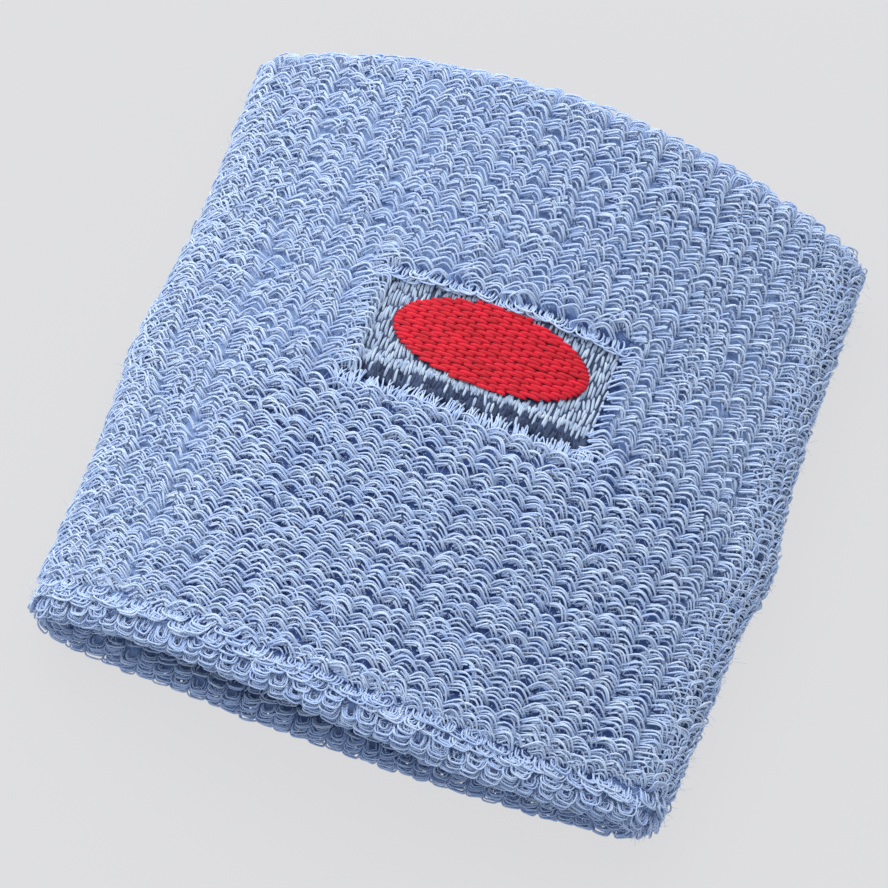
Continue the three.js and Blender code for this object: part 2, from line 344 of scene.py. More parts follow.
# ---- pile loops
LOOP_REACH = math.radians(126)          # how far round from its crest a loop runs on each side
YARN = (0.28 * MM, 0.12 * MM)           # half the yarn's size: across the loop's band, through it
YARN_DRIFT = 0.42                       # how far a strand wanders among its neighbours
SQUARE_LEFT = 0.4                       # 1 is a round shoulder, and less is a squarer one: a loop
SQUARE_RIGHT = 0.66                     # runs flat out of its neighbour and bends down at its right
SLANT = 0.06                            # how much taller a loop is at its right, and lower at its left
ROOT_DEPTH = 0.12 * MM                  # how deep its ends sit in the ground
THREAD = 0.125 * MM                     # radius of a strand
RIM_THREAD = 0.11 * MM
PRESS = 0.15 * MM                       # how softly the loops flatten against the floor
ROOT_SHADE = 0.95                        # painted shade: how much darker a braided loop is painted at its root
STRAND_TONE = 0.2                       # how much the strands of one loop differ
LEG_HIGHLIGHT = 0.8                          # painted light: how much lighter a lying loop's right leg is painted
UNDER_SHADE = 0.95                       # and painted shade: how much darker its left end, under the next column
OUTER_STRANDS, OUTER_STEPS = 3, 14      # strands of one loop, and points along each
RIM_STRANDS, RIM_STEPS = 4, 13
LINING_STRANDS, LINING_STEPS = 4, 9


def loop_paths(base, across, down, normal, loops, rng, strands, steps):
    """Strand centre lines of many pile loops, and how light they are painted along them: the yarn's own
    tone, with painted shade and painted light.

    loops holds one value a loop: width and height are half the loop's size across and its
    full size upwards, lean tilts it towards down, skew pushes its crest sideways, twist
    turns it about the normal, roll lifts its right leg over the next column and tuck draws
    its left leg in under its crest.
    """
    count = len(base)
    theta = np.linspace(-LOOP_REACH, LOOP_REACH, steps)[None, None]
    square = np.where(theta < 0, SQUARE_LEFT, SQUARE_RIGHT)
    swing = np.sign(theta) * np.abs(np.sin(theta)) ** square
    climb = np.where(np.cos(theta) > 0, np.abs(np.cos(theta)) ** square, np.cos(theta))

    def jitter(amount):
        return rng.normal(0, amount, (count, strands, 1))

    def value(key):
        return loops[key][:, None, None]

    lane = np.linspace(-1, 1, strands)[None, :, None] + jitter(0.16)
    phase = rng.uniform(0, 2 * math.pi, (count, 1, 1)) + 2.4 * lane
    outward = YARN[0] * (lane + YARN_DRIFT * np.sin(0.8 * theta + phase))
    through = YARN[1] * (1 - lane**2 + 0.6 * np.cos(0.9 * theta + phase))
    half_width = value("width") + outward
    height = value("height") + outward
    rise = height * (climb - math.cos(LOOP_REACH)) / (1 - math.cos(LOOP_REACH)) * (1 + SLANT * swing)
    share = np.clip(rise / height, 0, 1)
    rise = rise - ROOT_DEPTH
    tilt = (value("lean") + jitter(0.05)) * (0.4 + 0.6 * share)
    x = half_width * swing + value("skew") * rise + jitter(0.02 * MM)
    y = rise * np.sin(tilt) - through * np.cos(tilt) + value("tuck") * (1 - swing) / 2 * (1 - share)
    n = rise * np.cos(tilt) + through * np.sin(tilt) + value("roll") * half_width * swing * share
    twist = value("twist") + jitter(0.07)
    turned_x = x * np.cos(twist) + y * np.sin(twist)
    turned_y = y * np.cos(twist) - x * np.sin(twist)
    path = (
        base[:, None, None]
        + turned_x[..., None] * across[:, None, None]
        + turned_y[..., None] * down[:, None, None]
        + n[..., None] * normal[:, None, None]
    )
    height_above = path[..., 2] - loops["thread"]
    path[..., 2] = loops["thread"] + PRESS * np.logaddexp(0, height_above / PRESS)
    # painted shade: braided loops are painted darker towards their roots, down in the gaps
    deep = value("deep") * (share - 0.85)
    # painted light on a lying loop's right leg, and painted shade on its left end under the next column
    sides = LEG_HIGHLIGHT * np.clip(swing, 0, 1) ** 2 * (1 - share) - UNDER_SHADE * np.clip(-swing, 0, 1) ** 2
    tone = value("tone") + jitter(STRAND_TONE) + deep + value("leg_shading") * sides
    return path.reshape(count * strands, steps, 3), tone.reshape(count * strands, steps)


# ---- the embroidery's place
DIP = 0.5 * MM                          # how far the stitches pull the outer sheet in
DIP_REACH = 3.2 * MM                    # and how far from them that still shows


def patch_distance(x, y):
    """Distance outside the embroidered patch, negative inside it."""
    centre = (PATCH_LOW + PATCH_HIGH) / 2
    half = (PATCH_HIGH - PATCH_LOW) / 2
    dx, dy = np.abs(x - centre[0]) - half[0], np.abs(y - centre[1]) - half[1]
    outside = np.hypot(np.maximum(dx, 0), np.maximum(dy, 0))
    return outside + np.minimum(np.maximum(dx, dy), 0)


def sheet_dip(point, normal):
    """How far the outer sheet is pulled in under and near the embroidery."""
    on_top = (normal[:, 2] > 0.5) & (point[:, 2] > FOLD_Z)
    near = 1 - smoothstep(patch_distance(point[:, 0], point[:, 1]), 0, DIP_REACH)
    return np.where(on_top, DIP * near, 0.0)


def turn_and_along(x, y):
    """The turn and along under (x, y) of the upper wall."""
    upper_half = TABLE[len(TABLE_ALONG) // 2, 0, TABLE_STEPS // 4:3 * TABLE_STEPS // 4 + 1]
    turn = np.interp(-x, -upper_half, np.linspace(0.25, 0.75, len(upper_half)))
    return turn, y / upper_reach(x, y)


def on_upper_wall(x, y, offset):
    """Points over (x, y) on the upper wall, at a distance from the wall's middle."""
    x, y, offset = np.broadcast_arrays(x, y, offset)
    shape = x.shape
    x, y, offset = x.ravel(), y.ravel(), offset.ravel()
    turn, along = turn_and_along(x, y)
    point, _, _, _ = place(turn, along, np.full(len(x), math.pi / 2), 1, offset)
    return point.reshape(*shape, 3)


# ---- the pile's grid and its lay
LAY = {                                 # plain value, more where braided, and drift over the cloth
    "lean": (1.04, 0.08, 0.08),
    "twist": (-0.34, -0.03, 0.12),
    "skew": (-0.3, -0.3, 0.08),
    "roll": (0.46, 0.08, 0.2),
}
LESS_ON_FOLDS = {"roll": 0.9, "tuck": 0.7, "skew": 0.6}
OUTER_WIDTH = 1.08 * MM                 # half a loop's width
WIDER_ON_FOLDS = 0.1 * MM
OUTER_HEIGHT = 1.95 * MM                # a loop's full height, along its lean
OUTER_TUCK = 2.3 * MM
TURNED_LEAN = -1.05                     # of the loops that turn over the near rim
# the tone taken off the turned loops is painted shade over the near rim
TURNED_SMALLER = {"width": 0.1 * MM, "height": 0.3 * MM, "tone": 0.25}
SHORT_SMALLER = {"width": 0.4 * MM, "height": 0.9 * MM}
OUTER_WOBBLE = 0.06                     # both as in grid
OUTER_STAGGER = (0.12, 0.45)
FOLD_NORMAL = 0.46                      # folds begin where the normal leans this far sideways
FILE_GAPS = (0.25 * MM, 0.95 * MM)      # of the extra files of loops at the patch's left edge
ROW_GAP = 1.2 * MM                      # and of the extra row beyond its far edge
MARGIN = 0.4 * MM                       # left free of loops at its right
PRESSED_REACH = 2.6 * MM                # before it, loops of another kind: see pressed_pile
RIM_TURN = math.radians(82)             # the rim's loops go this far up and down from level
RIM_WIDTH = 0.8 * MM
RIM_HEIGHT = 1.35 * MM
RIM_TALLER = 0.5 * MM                   # how much taller they are on the outside of the upper wall
LINING_WIDTH, LINING_HEIGHT, LINING_LEAN = 0.95 * MM, 1.6 * MM, 0.95
INNER_TWIST = -0.1                      # of the loops in the lining and round the rims
# painted shade: how much darker the loops are painted round the rims, more round the lower one in the
# mouth, and in the lining
RIM_SHADE, LOWER_RIM_SHADE, LINING_SHADE = 0.35, 0.25, 0.4


def pile(name, spots, loops, strands, steps, material, rng):
    """One piece of pile; spots are the loops' places: turn, along, alpha, side and radius."""
    base, across, down, normal = place(*spots)
    dip = sheet_dip(base, normal)
    base = base - normal * dip[:, None]
    paths, tones = loop_paths(base, across, down, normal, loops, rng, strands, steps)
    piece = strand_mesh(name, paths, loops["thread"], tones)
    return finish_piece(piece, material, "terry_pile")


def grid(columns, courses, rng, wobble=0.045, stagger=(0.0, 0.0)):
    """Column and course number of each loop, with alternate columns half a course up.

    wobble is how far each loop strays by itself, and stagger how far each whole column is
    pulled out of its place, in columns and in courses.
    """
    column, course = np.meshgrid(columns, courses, indexing="ij")
    column, course = column.ravel().astype(float), course.ravel().astype(float)
    course += 0.5 * (column % 2)
    column += np.repeat(rng.normal(0, 1, len(columns)), len(courses)) * stagger[0]
    course += np.repeat(rng.normal(0, 1, len(columns)), len(courses)) * stagger[1]
    column += rng.normal(0, wobble, len(column))
    course += rng.normal(0, wobble * 2, len(course))
    return column, course


def loop_values(count, rng, width, height, lean, twist, skew=0.0, roll=0.0, tuck=0.0):
    """What loop_paths has to know of each loop, with small differences."""
    return {
        "roll": roll + rng.normal(0, 0.06, count),
        "tuck": np.full(count, tuck),
        "width": width * rng.normal(1, 0.06, count),
        "height": height * rng.normal(1, 0.06, count),
        "lean": lean + rng.normal(0, 0.07, count),
        "twist": twist + rng.normal(0, 0.13, count),
        "skew": skew + rng.normal(0, 0.1, count),
        "tone": rng.normal(0, 0.16, count),
        # painted shade at a loop's root, and painted light and shade on its legs: none unless set
        "deep": np.zeros(count),
        "leg_shading": np.zeros(count),
        "thread": THREAD,
    }


def braided_share(x, y):
    """Where the loops are combed into braids with deep gaps: the near half, but for its edges."""
    near_half = smoothstep(-y, -5 * MM, 4 * MM) * smoothstep(y, -41 * MM, -34 * MM)
    return near_half * smoothstep(x, -32 * MM, -18 * MM) * (1 - 0.6 * smoothstep(x, 28 * MM, 36 * MM))


def lay_of_pile(x, y):
    """Lean, twist, skew and roll of the loops, as the cloth was last brushed."""
    braided = braided_share(x, y)
    other = soft_noise(x, y, 4, 24 * MM)
    drift = {
        "lean": other,
        "twist": soft_noise(x, y, 3, 36 * MM),
        "skew": other,
        "roll": np.clip(x / (25 * MM), -1, 1),
    }
    return {key: plain + more * braided + slow * drift[key] for key, (plain, more, slow) in LAY.items()}


def near_patch(x, y, on_top, loops):
    """Changes the loops round the embroidery: tall beyond it, and drawn out flat before it."""
    apart = patch_distance(x, y)
    close = np.where(on_top, 1 - smoothstep(apart, 0.8 * MM, 3.2 * MM), 0)
    beyond = close * (y > PATCH_HIGH[1])
    left = close * (x < PATCH_LOW[0])
    right = close * (x > PATCH_HIGH[0])
    before = on_top & (y < PATCH_LOW[1])
    floats = np.where(before, 1 - smoothstep(apart, 2.8 * MM, 4.4 * MM), 0)
    loops["lean"] += beyond * (0.8 - loops["lean"])
    loops["height"] += beyond * 0.3 * MM
    for key in ("roll", "tuck"):
        loops[key] *= 1 - 0.6 * close
    loops["lean"] += left * (0.75 - loops["lean"])
    loops["skew"] += left * (0.3 - loops["skew"]) + right * (0.15 - loops["skew"])
    loops["width"] += floats * 0.6 * MM
    loops["lean"] += floats * 0.25


def edge_spots(rng):
    """Extra loops crowded against the patch, where the cloth puckers, as turn, along and kind.

    Two files lie along its left edge, and a row at its far edge hangs over it.
    """
    low, high = PATCH_LOW, PATCH_HIGH
    file_y = np.arange(low[1] - 0.5 * MM, high[1] + 1.2 * MM, 0.9 * MM)
    row_x = np.arange(low[0] - 0.6 * MM, high[0] + 0.8 * MM, 1.2 * MM)
    files = [np.stack([np.full(len(file_y), low[0] - gap), file_y], 1) for gap in FILE_GAPS]
    row = np.stack([row_x, np.full(len(row_x), high[1] + ROW_GAP)], 1)
    spots = np.concatenate([*files, row])
    spots = spots + rng.normal(0, 0.15 * MM, spots.shape)
    kind = np.where(np.arange(len(spots)) < len(spots) - len(row), LYING, TURNED_OUT)
    return *turn_and_along(spots[:, 0], spots[:, 1]), kind


def outer_spots(rng):
    """Turn, along and kind of every loop outside: the knit's own grid, thickened in places.

    The kind is LYING towards the far rim, TURNED_OUT over the edge of the near rim, or SHORT:
    lying too, but small, between the roots of the last course before the parting.
    """
    column, course = grid(np.arange(COLUMNS), np.arange(OUTER_COURSES), rng, OUTER_WOBBLE, OUTER_STAGGER)
    _, _, normal_x, _ = section((column + 0.5) / COLUMNS, course / OUTER_COURSES * 2 - 1)
    on_fold = np.abs(normal_x) > FOLD_NORMAL
    column = np.concatenate([column, column[on_fold] + 0.5])
    course = np.concatenate([course, course[on_fold] + 0.3])
    turn = column / COLUMNS
    along = np.clip((course + 0.5) / OUTER_COURSES * 2 - 1, -1, 1)
    kind = np.where(along < PARTING, TURNED_OUT, LYING)
    spots = [np.stack([turn, along, kind]), np.stack(edge_spots(rng))]
    for extra, number, low, high in PARTING_LOOPS:
        count = number * COLUMNS
        turn = (np.arange(count) + rng.normal(0, 0.2, count)) / count
        along = PARTING + rng.uniform(low, high, count)
        spots.append(np.stack([turn, along, np.full(count, extra)]))
    turn, along, kind = np.concatenate(spots, 1)
    order = np.argsort(turn, kind="stable")
    return turn[order], along[order], kind[order]


def bare_of_loops(x, y, on_top):
    """Where the outside has no loops of its own: on the patch, at its right, and just before it."""
    apart = patch_distance(x, y)
    pressed = (y < PATCH_LOW[1]) & (x > PATCH_LOW[0]) & (x < PATCH_HIGH[0]) & (apart < PRESSED_REACH)
    margin = np.where(x > PATCH_HIGH[0] - MM, MARGIN, 0.0)
    return on_top & ((apart < margin) | pressed)


def outer_loops(turn, along, kind, x, y, on_top, rng):
    """The shapes of some of the outer loops, and their tones with painted shade and light."""
    _, _, normal_x, _ = section(turn, along)
    width = OUTER_WIDTH + WIDER_ON_FOLDS * smoothstep(np.abs(normal_x), 0.5, 0.9)
    loops = loop_values(len(turn), rng, width, OUTER_HEIGHT, tuck=OUTER_TUCK, **lay_of_pile(x, y))
    # painted light towards the side folds: the loops there are painted lighter, with less painted leg
    # shading
    beside = smoothstep(np.abs(x), 14 * MM, 30 * MM)
    # painted shade at the roots of the braided loops
    loops["deep"] = ROOT_SHADE * braided_share(x, y)
    loops["leg_shading"] = (kind == LYING) * (1 - 0.6 * beside)
    loops["tone"] += 0.12 * beside
    fold = smoothstep(np.abs(normal_x), 0.35, 0.75)
    for key, less in LESS_ON_FOLDS.items():
        loops[key] *= 1 - less * fold
    near_patch(x, y, on_top, loops)
    for key, less in SHORT_SMALLER.items():
        loops[key] -= (kind == SHORT) * less
    turn_out(loops, kind == TURNED_OUT, rng)
    return loops


def turn_out(loops, out, rng):
    """Turns the loops marked by out over the near rim, makes them a little smaller and paints them darker,
    as painted shade.
    """
    scatter = rng.normal(0, 0.12, len(out))
    loops["lean"] += out * (scatter + TURNED_LEAN - loops["lean"])
    for key, less in TURNED_SMALLER.items():
        loops[key] -= out * less
    for key in ("skew", "twist", "roll", "tuck"):
        loops[key] *= 1 - out


def outer_pile(material):
    """The loops on the outside, in bands round the tube."""
    rng = np.random.default_rng(SEED)
    turn, along, kind = outer_spots(rng)
    alpha = np.full(len(turn), math.pi / 2)
    point, _, _, _ = place(turn, along, alpha, 1, OUTER_SHEET[1])
    x, y = point[:, 0], point[:, 1]
    on_top = point[:, 2] > FOLD_Z * 1.2
    keep = np.flatnonzero(~bare_of_loops(x, y, on_top))
    pieces = []
    for band, chosen in enumerate(np.array_split(keep, OUTER_BANDS)):
        facts = (values[chosen] for values in (turn, along, kind, x, y, on_top))
        loops = outer_loops(*facts, rng)
        spots = (turn[chosen], along[chosen], alpha[chosen], 1, OUTER_SHEET[1])
        name = f"pile_outer_{band + 1}"
        pieces.append(pile(name, spots, loops, OUTER_STRANDS, OUTER_STEPS, material, rng))
    return pieces


def rim_pile(name, side, flatten, material, seed):
    """Loops round one rim; flatten turns them all towards the mouth, 1 fully."""
    rng = np.random.default_rng(seed)
    column, course = grid(np.arange(COLUMNS), np.arange(RIM_COURSES), rng)
    turn = column / COLUMNS
    alpha = RIM_TURN - 2 * RIM_TURN * (course + 0.1) / RIM_COURSES
    along = np.full(len(turn), float(side))
    radius = blend(-LINING_SHEET[1], OUTER_SHEET[1], alpha)
    _, z, _, _ = section(turn, along)
    upper_outside = (z > FOLD_Z) * (1 - smoothstep(-alpha, -1.2, 1.2))
    height = RIM_HEIGHT + RIM_TALLER * upper_outside
    loops = loop_values(len(turn), rng, RIM_WIDTH, height, flatten * side * alpha, INNER_TWIST)
    # painted shade round the rims, deepest round the lower one
    loops["tone"] -= RIM_SHADE + LOWER_RIM_SHADE * (z < FOLD_Z)
    loops["thread"] = RIM_THREAD
    spots = (turn, along, alpha, side, radius)
    return pile(name, spots, loops, RIM_STRANDS, RIM_STEPS, material, rng)


def lining_pile(material):
    """The loops of the lining, in bands round the tube."""
    rng = np.random.default_rng(SEED + 5)
    pieces = []
    for band, columns in enumerate(np.array_split(np.arange(COLUMNS), LINING_BANDS)):
        column, course = grid(columns, np.arange(LINING_COURSES), rng)
        turn = column / COLUMNS
        along = np.clip(1 - (course + 0.5) / LINING_COURSES * 2, -1, 1)
        alpha = np.full(len(turn), -math.pi / 2)
        loops = loop_values(len(turn), rng, LINING_WIDTH, LINING_HEIGHT, LINING_LEAN, INNER_TWIST)
        # painted shade in the lining, inside the tube
        loops["tone"] -= LINING_SHADE
        spots = (turn, along, alpha, 1, -LINING_SHEET[1])
        name = f"pile_lining_{band + 1}"
        pieces.append(pile(name, spots, loops, LINING_STRANDS, LINING_STEPS, material, rng))
    return pieces


FIBRES = 7000                           # in each piece of fuzz
FIBRE_RADIUS = 0.018 * MM
FIBRE_LENGTHS = (0.35 * MM, 1.05 * MM)
FIBRE_TURNS = (0.17, 0.83)              # from one side fold over the crown to the other
# painted light: the fibres are painted lighter than the loops, for the light that fine fibres let through
FIBRE_PAINTED_LIGHT = 0.4


def fuzz(material):
    """Loose fibre ends standing off the pile, far finer than its strands."""
    rng = np.random.default_rng(SEED + 20)
    pieces = []
    for part in range(FUZZ_PIECES):
        paths = fibre_paths(FIBRES, rng)
        piece = strand_mesh(f"pile_fuzz_{part + 1}", paths, FIBRE_RADIUS, FIBRE_PAINTED_LIGHT)
        pieces.append(finish_piece(piece, material, "terry_pile"))
    return pieces


def fibre_paths(count, rng):
    """Short bent paths over the upper wall, the folds and the rims, but not the patch."""
    share = np.linspace(0, 1, 4)[None, :, None]
    turn = rng.uniform(*FIBRE_TURNS, count)
    on_rim = rng.random(count) < 0.16
    side = rng.choice([-1.0, 1.0], count)
    along = np.where(on_rim, side, rng.uniform(-1, 1, count))
    alpha = np.where(on_rim, rng.uniform(-0.5, math.pi / 2, count), math.pi / 2)
    lifted = OUTER_SHEET[1] + rng.uniform(0.3, 1.3, count) * MM
    base, across, down, normal = place(turn, along, alpha, side, lifted)
    heading = normal * rng.uniform(0.1, 0.9, (count, 1))
    heading += across * rng.normal(0, 0.7, (count, 1)) + down * rng.normal(0, 0.7, (count, 1))
    heading /= np.linalg.norm(heading, axis=1, keepdims=True)
    bend = rng.normal(0, 0.5, (count, 3))
    length = rng.uniform(*FIBRE_LENGTHS, (count, 1, 1))
    paths = base[:, None] + length * (heading[:, None] * share + bend[:, None] * share**2)
    over_patch = (base[:, 2] > FOLD_Z) & (patch_distance(base[:, 0], base[:, 1]) < MM)
    above_floor = paths[:, :, 2].min(1) > FOLD_Z * 0.6
    return paths[above_floor & ~over_patch]


# ---- the knitted ground
GROUND_TURNS = 240                      # points round the band
GROUND_TONE = 0.9                       # how light the ground is painted between the loops, as painted shade for the gaps, and the painted shade that its place takes from that, or the painted light that it adds
SHADE_AT_MIDDLE = 0.75                 # and what its place takes from that or adds to it
PAINTED_LIGHT_AT_RIGHT = 0.4
SHADE_IN_BRAIDS = 1.7
SHADE_AT_PATCH = 2.0


def ground_profile():
    """The doubled sheet, edge to edge and back again, as (along, alpha, side, radius).

    It starts beside the seam in the lining, turns over the near rim, runs along the outside,
    turns in at the far rim and comes back along the lining to the seam.
    """
    inner, outer = -math.pi / 2, math.pi / 2
    arc = np.linspace(inner, outer, 11)[1:-1]
    profile = []
    for face in (1, 0):
        outside, lining = OUTER_SHEET[face], -LINING_SHEET[face]
        way = [(along, inner, 1, lining) for along in np.linspace(SEAM_ALONG - SEAM_HALF, -1, 6)]
        way += [(-1, alpha, -1, blend(lining, outside, alpha)) for alpha in arc]
        way += [(along, outer, 1, outside) for along in np.linspace(-1, 1, 41)]
        way += [(1, alpha, 1, blend(lining, outside, alpha)) for alpha in arc[::-1]]
        way += [(along, inner, 1, lining) for along in np.linspace(1, SEAM_ALONG + SEAM_HALF, 38)]
        profile += way if face else way[::-1]
    return profile


def painted_ground_light_and_shade(x, y):
    """How light the ground is painted between the loops: painted shade, darker from the left towards the
    middle and darkest among the braids and at the patch, and painted light at the right fold.
    """
    tone = GROUND_TONE - SHADE_AT_MIDDLE * smoothstep(x, -25 * MM, 10 * MM)
    tone += PAINTED_LIGHT_AT_RIGHT * smoothstep(x, 22 * MM, 34 * MM)
    tone -= SHADE_IN_BRAIDS * braided_share(x, y)
    return tone - SHADE_AT_PATCH * (1 - smoothstep(patch_distance(x, y), 0.8 * MM, 2.4 * MM))


def ground_ring(along, alpha, side, radius):
    """One ring of the sheet's points round the band; alpha is pi / 2 on the outside."""
    turns = np.arange(GROUND_TURNS) / GROUND_TURNS
    alongs, alphas = np.full(GROUND_TURNS, along), np.full(GROUND_TURNS, alpha)
    point, _, _, normal = place(turns, alongs, alphas, side, radius)
    if alpha < math.pi / 2:
        return point
    return point - normal * sheet_dip(point, normal)[:, None]


def knitted_ground(material):
    """The sheet that all the loops stand on, doubled over and closed into one thin tube."""
    rings = [ground_ring(*stage) for stage in ground_profile()]
    points = np.concatenate(rings)
    count, size = len(rings), GROUND_TURNS
    ring = np.arange(count)[:, None]
    after = (ring + 1) % count
    j = np.arange(size)[None]
    k = (j + 1) % size
    corners = [ring * size + j, after * size + j, after * size + k, ring * size + k]
    piece = new_mesh("terry_ground", points, np.stack(corners, -1).reshape(-1, 4))
    u = np.broadcast_to(j[..., None] + np.array([0, 0, 1, 1]), (count, size, 4)) / size
    v = np.broadcast_to(ring[..., None] + np.array([0, 1, 1, 0]), (count, size, 4)) / count
    add_bake_map(piece.data, np.stack([u, v], -1).reshape(-1, 4, 2))
    add_tone(piece.data, painted_ground_light_and_shade(points[:, 0], points[:, 1]))
    return finish_piece(piece, material, "terry_pile", "outer_terry_layer", "inner_terry_layer")


# ---- embroidery
# Of each thread: how high a stitch's ends lie over the wall's middle, how far it arches up, its
# width, its filaments, and how much of its width is left where the needle went in.
RED = {"level": 1.75 * MM, "lift": 0.2 * MM, "width": 0.52 * MM, "filaments": 5, "gather": 0.6}
PALE = {"level": 1.15 * MM, "lift": 0.35 * MM, "width": 0.34 * MM, "filaments": 3, "gather": 0.35}
NAVY = {"level": 1.1 * MM, "lift": 0.25 * MM, "width": 0.36 * MM, "filaments": 3, "gather": 0.3}
STITCH_STEPS = 9
RED_PITCH, RED_LENGTH = 0.45 * MM, 2.4 * MM
PALE_PITCH, PALE_LENGTH = 0.39 * MM, 1.8 * MM
STRIP_PITCH, STRIP_LENGTH = 0.33 * MM, 1.3 * MM
NAVY_PITCH, NAVY_LENGTH = 0.36 * MM, 1.7 * MM
DROPPED = 0.06                          # share of the lengthwise stitches that are left out
UNCOVERED = 0.12                        # share of the pale ones that show among the navy ones
GOLDEN = 0.382                          # of a stitch between neighbours, so that none line up
FAN_PITCH, FAN_STRANDS = 0.95 * MM, 7   # of the loops pressed flat before the patch
FAN_RADIUS = 0.1 * MM
UNDERLAY = (0.9 * MM, 1.3 * MM)         # its two faces, from the wall's middle
UNDERLAY_STEPS = (60, 30)


def stitches(name, rows, shape, material, slot, node, rng):
    """Straight stitches on the upper wall, each arched and sunk at both ends.

    rows is (stitches, 4): x and y of one end, then of the other. A stitch is a few parallel
    filaments that gather where the needle went in.
    """
    starts, delta = rows[:, :2], rows[:, 2:] - rows[:, :2]
    filaments, width, gather = shape["filaments"], shape["width"], shape["gather"]
    share = np.linspace(0, 1, STITCH_STEPS)
    arch = 1 - np.abs(2 * share - 1) ** 3
    spread = np.linspace(-1, 1, filaments)[None, :, None]
    length = np.linalg.norm(delta, axis=1, keepdims=True)
    sideways = np.stack([-delta[:, 1], delta[:, 0]], 1) / length
    radius = width / filaments * 0.62
    bulge = spread * (width / 2 - radius) * (gather + (1 - gather) * arch)
    x = starts[:, None, None, 0] + delta[:, None, None, 0] * share + sideways[:, None, None, 0] * bulge
    y = starts[:, None, None, 1] + delta[:, None, None, 1] * share + sideways[:, None, None, 1] * bulge
    crown = 0.2 * width * (1 - spread**2)
    uneven = rng.normal(0, 0.03 * MM, (len(rows), 1, 1))
    offset = shape["level"] + shape["lift"] * arch + crown + uneven
    paths = on_upper_wall(x, y, offset).reshape(-1, STITCH_STEPS, 3)
    tones = np.repeat(rng.normal(0, 0.25, len(rows)), filaments) + rng.normal(0, 0.2, len(paths))
    finish_piece(strand_mesh(name, paths, radius, tones[:, None]), material, slot, node)


def motif(material):
    """An oval filled with rows of stitches, brick-wise."""
    rng = np.random.default_rng(SEED + 11)
    centre = (MOTIF_LOW + MOTIF_HIGH) / 2
    half = (MOTIF_HIGH - MOTIF_LOW) / 2
    count = int(2 * half[1] / RED_PITCH)
    rows = []
    for row in range(count):
        up = (row + 0.5) / count * 2 - 1
        y = centre[1] + up * half[1]
        chord = half[0] * math.sqrt(1 - up * up)
        cuts = np.arange(-half[0] - RED_LENGTH, half[0] + RED_LENGTH, RED_LENGTH)
        cuts = cuts + RED_LENGTH * (0.5 * (row % 2))
        cuts = cuts + rng.normal(0, 0.12 * MM, len(cuts))
        inner = cuts[np.abs(cuts) < chord - 0.6 * MM]
        knots = np.concatenate([[-chord], inner, [chord]]) + centre[0]
        for low, high in zip(knots[:-1], knots[1:]):
            wander = rng.normal(0, 0.03 * MM, 2)
            rows.append((low, y + wander[0], high, y + wander[1]))
    stitches("motif_threads", np.array(rows), RED, material, "motif_thread", "motif_stitches", rng)


def in_motif(x, y, grow):
    """Whether a point is in the oval, grown by that much."""
    centre = (MOTIF_LOW + MOTIF_HIGH) / 2
    half = (MOTIF_HIGH - MOTIF_LOW) / 2 + grow
    return ((x - centre[0]) / half[0]) ** 2 + ((y - centre[1]) / half[1]) ** 2 < 1


def lengthwise_rows(low, high, pitch, stitch, rng):
    """Brick-wise stitches along Y in a rectangle, as (x, y, x, y) of their ends."""
    rows = []
    for column, x in enumerate(np.arange(low[0] + pitch / 2, high[0], pitch)):
        y = low[1] + stitch * ((column * GOLDEN + rng.normal(0, 0.1)) % 1 - 0.8)
        while y < high[1] - 0.3 * MM:
            length = stitch * rng.uniform(0.7, 1.25)
            first = max(y, low[1] + rng.uniform(-0.15, 0.15) * MM)
            last = min(y + length, high[1] + rng.uniform(-0.15, 0.15) * MM)
            y += length
            if last - first > 0.5 * MM:
                drift = rng.normal(0, 0.13 * MM, 2)
                rows.append((x + drift[0], first, x + drift[1], last))
    rows = np.array(rows)
    return rows[rng.random(len(rows)) > DROPPED]


def ground_fill(material, shadow_material):
    """Lengthwise stitches round the oval, and the dark row before it."""
    rng = np.random.default_rng(SEED + 12)
    shadow_low, shadow_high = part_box("shadow_stitches")
    light = lengthwise_rows(PATCH_LOW, PATCH_HIGH, PALE_PITCH, PALE_LENGTH, rng)
    middle = (light[:, :2] + light[:, 2:]) / 2
    in_row = (middle[:, 1] < shadow_high[1] - 0.1 * MM) & (rng.random(len(light)) < 1 - UNCOVERED)
    hidden = in_motif(middle[:, 0], middle[:, 1], -0.2 * MM)
    strip_low = (PATCH_LOW[0], shadow_high[1])
    strip_high = (PATCH_HIGH[0], MOTIF_LOW[1] + 0.4 * MM)
    strip = lengthwise_rows(strip_low, strip_high, STRIP_PITCH, STRIP_LENGTH, rng)
    light = np.concatenate([light[~(in_row | hidden)], strip])
    dark = lengthwise_rows((shadow_low[0], PATCH_LOW[1]), shadow_high, NAVY_PITCH, NAVY_LENGTH, rng)
    stitches("ground_threads", light, PALE, material, "ground_thread", "ground_stitches", rng)
    stitches("shadow_threads", dark, NAVY, shadow_material, "shadow_thread", "shadow_stitches", rng)


def pressed_pile(material):
    """Loops flattened before the near edge of the patch: fans of straight strands."""
    rng = np.random.default_rng(SEED + 13)
    low, high = PATCH_LOW, PATCH_HIGH
    share = np.linspace(0, 1, STITCH_STEPS)
    swell = np.sin(share * math.pi)
    paths = []
    for x in np.arange(low[0] - 0.5 * MM, high[0] + 0.5 * MM, FAN_PITCH):
        root = np.array([x, low[1] - 2.5 * MM]) + rng.normal(0, 0.15 * MM, 2)
        for _ in range(FAN_STRANDS):
            tip = root + (rng.normal(0, 0.5) * MM, rng.uniform(2.0, 3.1) * MM)
            start = root + rng.normal(0, 0.22 * MM, 2)
            bend = rng.normal(0, 0.15) * MM * swell
            strand_x = start[0] + (tip[0] - start[0]) * share**1.2 + bend
            strand_y = start[1] + (tip[1] - start[1]) * share
            lift = (1.0 + 0.75 * swell + 0.5 * share + rng.uniform(0, 0.15)) * MM
            paths.append(on_upper_wall(strand_x, strand_y, lift))
    tones = rng.normal(-0.1, 0.3, (len(paths), 1))
    piece = strand_mesh("pile_pressed", np.array(paths), FAN_RADIUS, tones)
    return finish_piece(piece, material, "terry_pile")


